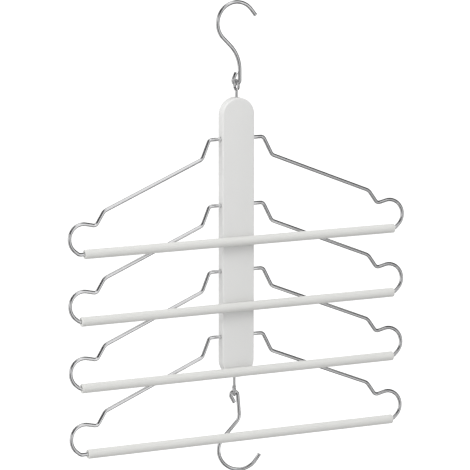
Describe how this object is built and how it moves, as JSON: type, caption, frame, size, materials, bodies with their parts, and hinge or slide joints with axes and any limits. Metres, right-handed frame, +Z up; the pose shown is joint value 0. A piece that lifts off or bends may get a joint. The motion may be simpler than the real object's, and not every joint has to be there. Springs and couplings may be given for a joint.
{
  "type": "multi hanger",
  "caption": "Space-saving trouser hanger: foam-covered bars on wire frames that swing on a long white board, which hangs from a wire hook.",
  "frame": {"origin": "rail seat, the top of the inside of the top hook's bend", "axes": "+Z up, +X to the right along the bars, -Y to the front, where the bars lie on the board"},
  "size_m": [0.4188, 0.0249, 0.5408],
  "materials": {
    "chromed_wire": "polished chrome plate on steel wire",
    "white_paint": "satin white paint on wood",
    "white_foam": "matt off-white soft foam"
  },
  "bodies": {
    "top_hook": {"top_hook": "chromed_wire"},
    "board": {"board": "white_paint", "top_eye": "chromed_wire", "bottom_eye": "chromed_wire"},
    "frame_1": {"wire_frame_1": "chromed_wire", "bar_sleeve_1": "white_foam"},
    "frame_2": {"wire_frame_2": "chromed_wire", "bar_sleeve_2": "white_foam"},
    "frame_3": {"wire_frame_3": "chromed_wire", "bar_sleeve_3": "white_foam"},
    "frame_4": {"wire_frame_4": "chromed_wire", "bar_sleeve_4": "white_foam"},
    "bottom_hook": {"bottom_hook": "chromed_wire"}
  },
  "joints": [
    {"name": "board_swing", "type": "hinge", "parent": "top_hook", "child": "board", "pos_m": [0, 0, -0.08595], "axis": [0, 1, 0], "range_deg": [-30, 30]},
    {"name": "frame_1_lift", "type": "hinge", "parent": "board", "child": "frame_1", "pos_m": [0, 0, -0.1514], "axis": [-1, 0, 0], "range_deg": [0, 167.5]},
    {"name": "frame_2_lift", "type": "hinge", "parent": "board", "child": "frame_2", "pos_m": [0, 0, -0.2269], "axis": [-1, 0, 0], "range_deg": [0, 167.5]},
    {"name": "frame_3_lift", "type": "hinge", "parent": "board", "child": "frame_3", "pos_m": [0, 0, -0.3024], "axis": [-1, 0, 0], "range_deg": [0, 167.5]},
    {"name": "frame_4_lift", "type": "hinge", "parent": "board", "child": "frame_4", "pos_m": [0, 0, -0.3779], "axis": [-1, 0, 0], "range_deg": [0, 167.5]},
    {"name": "bottom_hook_swing", "type": "hinge", "parent": "board", "child": "bottom_hook", "pos_m": [-0.0024, 0, -0.4473], "axis": [0.309, 0.9511, 0], "range_deg": [-18, 25]}
  ],
  "couplings": [
    {"joint": "frame_2_lift", "follows": "frame_1_lift", "ratio": 1},
    {"joint": "frame_3_lift", "follows": "frame_1_lift", "ratio": 1},
    {"joint": "frame_4_lift", "follows": "frame_1_lift", "ratio": 1}
  ]
}
